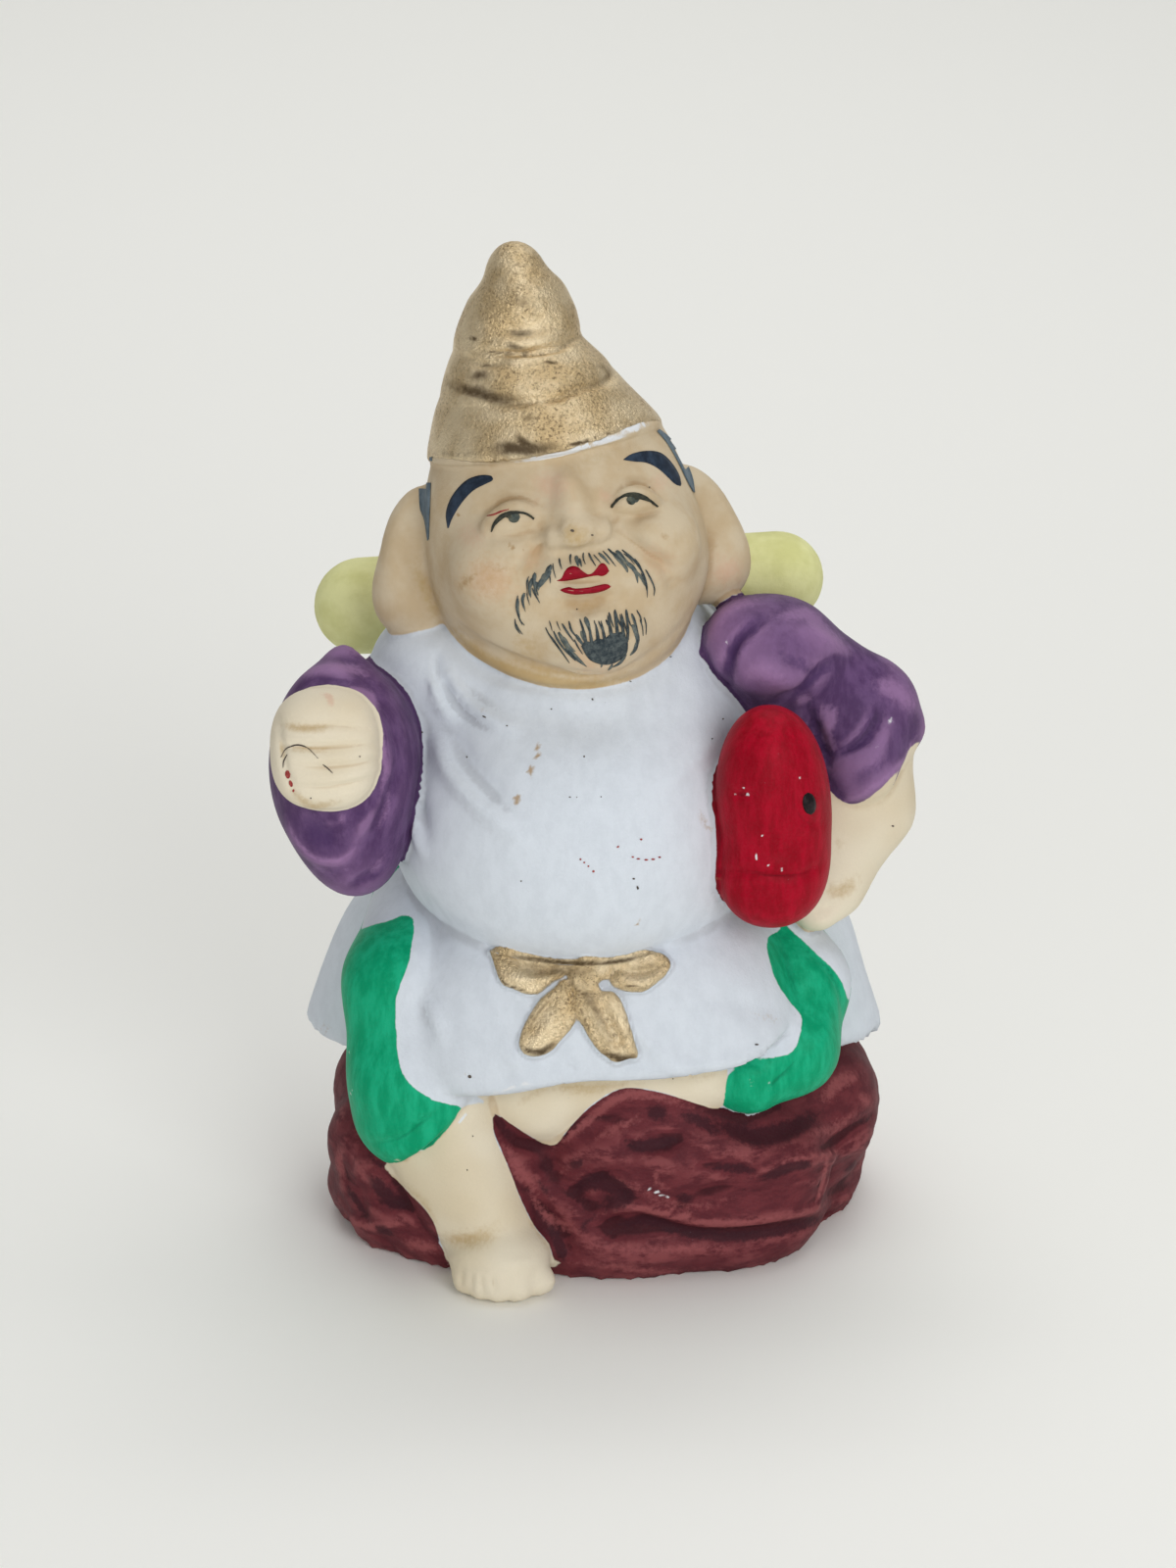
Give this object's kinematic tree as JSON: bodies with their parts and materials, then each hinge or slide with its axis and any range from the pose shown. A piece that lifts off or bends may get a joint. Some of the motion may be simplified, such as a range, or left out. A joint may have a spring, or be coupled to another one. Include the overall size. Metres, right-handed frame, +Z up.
{
  "type": "clay ebisu doll",
  "caption": "Small painted clay figure of a seated lucky god in a pointed cap, one fist raised, a fish under the other arm, cast in one with its rock base.",
  "frame": {"origin": "centre of the bounding box in X and Y, on the flat underside that stands on the table", "axes": "+Z up, the figure faces -Y, +X is the figure's own left, the side of the fish"},
  "size_m": [0.061, 0.0472, 0.0984],
  "materials": {
    "painted_clay": "matte hand-painted bisque: bluish white robe, purple sleeves, green trousers, crimson fish, gold cap and bow, maroon rock"
  },
  "bodies": {
    "root": {"ebisu_doll": "painted_clay"}
  },
  "joints": []
}
